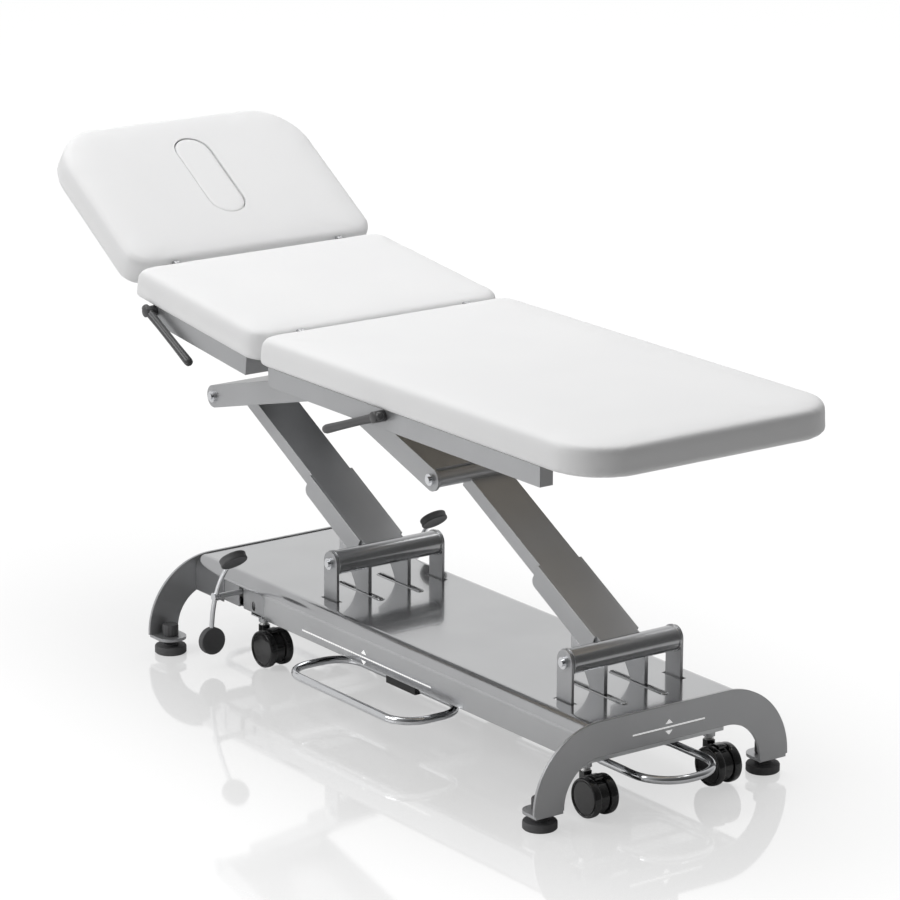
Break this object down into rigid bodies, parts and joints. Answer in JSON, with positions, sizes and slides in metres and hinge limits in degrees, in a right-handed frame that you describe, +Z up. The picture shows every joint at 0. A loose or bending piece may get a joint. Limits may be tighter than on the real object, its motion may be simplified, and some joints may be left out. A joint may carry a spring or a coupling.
{
  "type": "height-adjustable treatment couch",
  "caption": "Height-adjustable treatment couch with a folding backrest and headrest on two parallel lifting arms over a covered chassis with castors.",
  "frame": {"origin": "on the floor under the middle of the couch's box along X, on the chassis's middle plane across Y", "axes": "+X along the couch toward the foot end, +Z up, +Y toward the side without the release levers"},
  "size_m": [1.9134, 0.6353, 1.0502],
  "materials": {
    "grey_metallic_powder_coat": "satin",
    "glossy_grey_sheet": "gloss",
    "chrome": "polished",
    "zinc_plated_steel": "satin",
    "black_rubber": "matte",
    "black_gloss_plastic": "gloss",
    "black_plastic": "matte",
    "white_vinyl": "satin",
    "plywood": "matte",
    "black_grip": "satin",
    "black_painted_steel": "satin"
  },
  "bodies": {
    "chassis": {"end_plate_head": "grey_metallic_powder_coat", "end_plate_foot": "grey_metallic_powder_coat", "chassis_frame": "grey_metallic_powder_coat", "base_cover": "glossy_grey_sheet", "lower_pivot_uprights": "grey_metallic_powder_coat", "lower_pivot_pins": "chrome", "shaft_bushes": "black_plastic", "foot_switch_boxes": "black_plastic", "actuator_housing": "black_painted_steel", "control_box": "black_plastic"},
    "head_arm": {"arm_head_beam": "grey_metallic_powder_coat", "arm_head_sleeve": "grey_metallic_powder_coat", "arm_head_hub": "grey_metallic_powder_coat"},
    "foot_arm": {"arm_foot_beam": "grey_metallic_powder_coat", "arm_foot_sleeve": "grey_metallic_powder_coat", "arm_foot_hub": "grey_metallic_powder_coat"},
    "lift_link": {"link_bars": "zinc_plated_steel", "actuator_rod": "zinc_plated_steel"},
    "top": {"lift_bracket_head": "grey_metallic_powder_coat", "lift_bracket_foot": "grey_metallic_powder_coat", "upper_pivot_pins": "chrome", "leg_frame": "grey_metallic_powder_coat", "leg_board": "plywood", "leg_pad": "white_vinyl"},
    "backrest": {"mid_frame": "grey_metallic_powder_coat", "mid_board": "plywood", "mid_pad": "white_vinyl"},
    "headrest": {"head_frame": "grey_metallic_powder_coat", "head_board": "plywood", "head_pad": "white_vinyl"},
    "face_plug": {"face_plug": "white_vinyl"},
    "backrest_cylinders": {"backrest_cylinders": "black_painted_steel"},
    "backrest_rods": {"backrest_rods": "chrome"},
    "headrest_cylinder": {"headrest_cylinder": "black_painted_steel"},
    "headrest_rod": {"headrest_rod": "chrome"},
    "leg_lever": {"leg_lever": "black_grip"},
    "mid_lever": {"mid_lever": "black_grip"},
    "pedal": {"pedal_shaft": "zinc_plated_steel", "pedal_rods": "chrome", "pedal_pads": "black_rubber"},
    "foot_cams": {"foot_cam_shaft": "zinc_plated_steel"},
    "transfer_bar": {"transfer_bar": "zinc_plated_steel"},
    "castor_beam_head": {"castor_beam_head": "zinc_plated_steel"},
    "castor_beam_foot": {"castor_beam_foot": "zinc_plated_steel"},
    "foot_bar_head": {"foot_bar_head": "chrome"},
    "foot_bar_foot": {"foot_bar_foot": "chrome"},
    "foot_bar_near": {"foot_bar_near": "chrome"},
    "foot_bar_far": {"foot_bar_far": "chrome"},
    "levelling_foot_head_near": {"levelling_foot_head_near": "black_rubber"},
    "castor_hood_head_near": {"castor_hood_head_near": "black_gloss_plastic"},
    "castor_wheels_head_near": {"castor_wheels_head_near": "black_gloss_plastic"},
    "levelling_foot_head_far": {"levelling_foot_head_far": "black_rubber"},
    "castor_hood_head_far": {"castor_hood_head_far": "black_gloss_plastic"},
    "castor_wheels_head_far": {"castor_wheels_head_far": "black_gloss_plastic"},
    "levelling_foot_foot_near": {"levelling_foot_foot_near": "black_rubber"},
    "castor_hood_foot_near": {"castor_hood_foot_near": "black_gloss_plastic"},
    "castor_wheels_foot_near": {"castor_wheels_foot_near": "black_gloss_plastic"},
    "levelling_foot_foot_far": {"levelling_foot_foot_far": "black_rubber"},
    "castor_hood_foot_far": {"castor_hood_foot_far": "black_gloss_plastic"},
    "castor_wheels_foot_far": {"castor_wheels_foot_far": "black_gloss_plastic"}
  },
  "joints": [
    {"name": "lift", "type": "hinge", "parent": "chassis", "child": "head_arm", "pos_m": [-0.11346, 0, 0.2707], "axis": [0, 1, 0], "range_deg": [-26, 28]},
    {"name": "foot_arm_hinge", "type": "hinge", "parent": "chassis", "child": "foot_arm", "pos_m": [0.66904, 0, 0.2707], "axis": [0, 1, 0], "range_deg": [-26, 28]},
    {"name": "link_hinge", "type": "hinge", "parent": "head_arm", "child": "lift_link", "pos_m": [-0.11346, 0, 0.1507], "axis": [0, 1, 0], "range_deg": [-28, 26]},
    {"name": "top_hinge", "type": "hinge", "parent": "head_arm", "child": "top", "pos_m": [-0.54527, 0, 0.53119], "axis": [0, 1, 0], "range_deg": [-28, 26]},
    {"name": "backrest_hinge", "type": "hinge", "parent": "top", "child": "backrest", "pos_m": [-0.11377, 0, 0.76589], "axis": [0, 1, 0], "range_deg": [-6.63, 60]},
    {"name": "headrest_hinge", "type": "hinge", "parent": "backrest", "child": "headrest", "pos_m": [-0.57566, 0, 0.81958], "axis": [0, 1, 0], "range_deg": [-25.77, 15]},
    {"name": "face_plug_slide", "type": "slide", "parent": "headrest", "child": "face_plug", "axis": [0.5358, 0, 0.8443], "range_m": [0, 0.12]},
    {"name": "backrest_cylinder_hinge", "type": "hinge", "parent": "top", "child": "backrest_cylinders", "pos_m": [-0.12277, 0, 0.63229], "axis": [0, 1, 0], "range_deg": [-5, 43]},
    {"name": "backrest_rod_hinge", "type": "hinge", "parent": "backrest", "child": "backrest_rods", "pos_m": [-0.32109, 0, 0.71448], "axis": [0, 1, 0], "range_deg": [-18, 3]},
    {"name": "headrest_cylinder_hinge", "type": "hinge", "parent": "backrest", "child": "headrest_cylinder", "pos_m": [-0.54078, 0, 0.72995], "axis": [0, 1, 0], "range_deg": [-13, 8]},
    {"name": "headrest_rod_hinge", "type": "hinge", "parent": "headrest", "child": "headrest_rod", "pos_m": [-0.6666, 0, 0.78826], "axis": [0, 1, 0], "range_deg": [-8, 13]},
    {"name": "leg_lever_hinge", "type": "hinge", "parent": "top", "child": "leg_lever", "pos_m": [0.30623, -0.316, 0.70109], "axis": [0, 1, 0], "range_deg": [0, 12], "stiffness_Nm_per_rad": 2},
    {"name": "mid_lever_hinge", "type": "hinge", "parent": "backrest", "child": "mid_lever", "pos_m": [-0.51063, -0.316, 0.74678], "axis": [0, -1, 0], "range_deg": [0, 12], "stiffness_Nm_per_rad": 2},
    {"name": "pedal_hinge", "type": "hinge", "parent": "chassis", "child": "pedal", "pos_m": [-0.36276, 0, 0.157], "axis": [0, 1, 0], "range_deg": [0, 40]},
    {"name": "foot_cam_hinge", "type": "hinge", "parent": "chassis", "child": "foot_cams", "pos_m": [0.75124, 0, 0.157], "axis": [0, 1, 0], "range_deg": [0, 40]},
    {"name": "transfer_bar_hinge", "type": "hinge", "parent": "pedal", "child": "transfer_bar", "pos_m": [-0.36276, 0.146, 0.177], "axis": [0, 1, 0], "range_deg": [-40, 0]},
    {"name": "castor_beam_head_slide", "type": "slide", "parent": "chassis", "child": "castor_beam_head", "axis": [0, 0, -1], "range_m": [0, 0.0121]},
    {"name": "castor_swivel_head_near", "type": "hinge", "parent": "castor_beam_head", "child": "castor_hood_head_near", "pos_m": [-0.33676, -0.151, 0.042], "axis": [0, 0, 1], "continuous": true},
    {"name": "castor_roll_head_near", "type": "hinge", "parent": "castor_hood_head_near", "child": "castor_wheels_head_near", "pos_m": [-0.30676, -0.151, 0.042], "axis": [0, 1, 0], "continuous": true},
    {"name": "levelling_head_near", "type": "hinge", "parent": "chassis", "child": "levelling_foot_head_near", "pos_m": [-0.51176, -0.273, 0], "axis": [0, 0, 1], "continuous": true},
    {"name": "castor_swivel_head_far", "type": "hinge", "parent": "castor_beam_head", "child": "castor_hood_head_far", "pos_m": [-0.33676, 0.151, 0.042], "axis": [0, 0, 1], "continuous": true},
    {"name": "castor_roll_head_far", "type": "hinge", "parent": "castor_hood_head_far", "child": "castor_wheels_head_far", "pos_m": [-0.30676, 0.151, 0.042], "axis": [0, 1, 0], "continuous": true},
    {"name": "levelling_head_far", "type": "hinge", "parent": "chassis", "child": "levelling_foot_head_far", "pos_m": [-0.51176, 0.273, 0], "axis": [0, 0, 1], "continuous": true},
    {"name": "castor_beam_foot_slide", "type": "slide", "parent": "chassis", "child": "castor_beam_foot", "axis": [0, 0, -1], "range_m": [0, 0.0121]},
    {"name": "castor_swivel_foot_near", "type": "hinge", "parent": "castor_beam_foot", "child": "castor_hood_foot_near", "pos_m": [0.75724, -0.151, 0.042], "axis": [0, 0, 1], "continuous": true},
    {"name": "castor_roll_foot_near", "type": "hinge", "parent": "castor_hood_foot_near", "child": "castor_wheels_foot_near", "pos_m": [0.78724, -0.151, 0.042], "axis": [0, 1, 0], "continuous": true},
    {"name": "levelling_foot_near", "type": "hinge", "parent": "chassis", "child": "levelling_foot_foot_near", "pos_m": [0.77624, -0.273, 0], "axis": [0, 0, 1], "continuous": true},
    {"name": "castor_swivel_foot_far", "type": "hinge", "parent": "castor_beam_foot", "child": "castor_hood_foot_far", "pos_m": [0.75724, 0.151, 0.042], "axis": [0, 0, 1], "continuous": true},
    {"name": "castor_roll_foot_far", "type": "hinge", "parent": "castor_hood_foot_far", "child": "castor_wheels_foot_far", "pos_m": [0.78724, 0.151, 0.042], "axis": [0, 1, 0], "continuous": true},
    {"name": "levelling_foot_far", "type": "hinge", "parent": "chassis", "child": "levelling_foot_foot_far", "pos_m": [0.77624, 0.273, 0], "axis": [0, 0, 1], "continuous": true},
    {"name": "foot_bar_head_hinge", "type": "hinge", "parent": "chassis", "child": "foot_bar_head", "pos_m": [-0.40276, 0, 0.08], "axis": [0, 1, 0], "range_deg": [-2.5, 1], "stiffness_Nm_per_rad": 60, "springref_deg": 1.13},
    {"name": "foot_bar_foot_hinge", "type": "hinge", "parent": "chassis", "child": "foot_bar_foot", "pos_m": [0.66724, 0, 0.08], "axis": [0, -1, 0], "range_deg": [-2.5, 1], "stiffness_Nm_per_rad": 60, "springref_deg": 1.13},
    {"name": "foot_bar_near_hinge", "type": "hinge", "parent": "chassis", "child": "foot_bar_near", "pos_m": [0.13224, -0.122, 0.08], "axis": [-1, 0, 0], "range_deg": [-2.5, 2.5], "stiffness_Nm_per_rad": 60, "springref_deg": 1.2},
    {"name": "foot_bar_far_hinge", "type": "hinge", "parent": "chassis", "child": "foot_bar_far", "pos_m": [0.13224, 0.122, 0.08], "axis": [1, 0, 0], "range_deg": [-2.5, 2.5], "stiffness_Nm_per_rad": 60, "springref_deg": 1.2}
  ],
  "couplings": [
    {"joint": "foot_arm_hinge", "follows": "lift", "ratio": 1},
    {"joint": "link_hinge", "follows": "lift", "ratio": -1},
    {"joint": "top_hinge", "follows": "lift", "ratio": -1},
    {"joint": "backrest_cylinder_hinge", "follows": "backrest_hinge", "ratio": 0.703},
    {"joint": "backrest_rod_hinge", "follows": "backrest_hinge", "ratio": -0.297},
    {"joint": "headrest_cylinder_hinge", "follows": "headrest_hinge", "ratio": 0.5},
    {"joint": "headrest_rod_hinge", "follows": "headrest_hinge", "ratio": -0.5},
    {"joint": "foot_cam_hinge", "follows": "pedal_hinge", "ratio": 1},
    {"joint": "transfer_bar_hinge", "follows": "pedal_hinge", "ratio": -1},
    {"joint": "castor_beam_head_slide", "follows": "pedal_hinge", "m_per_rad": 0.017189},
    {"joint": "castor_beam_foot_slide", "follows": "pedal_hinge", "m_per_rad": 0.017189}
  ]
}
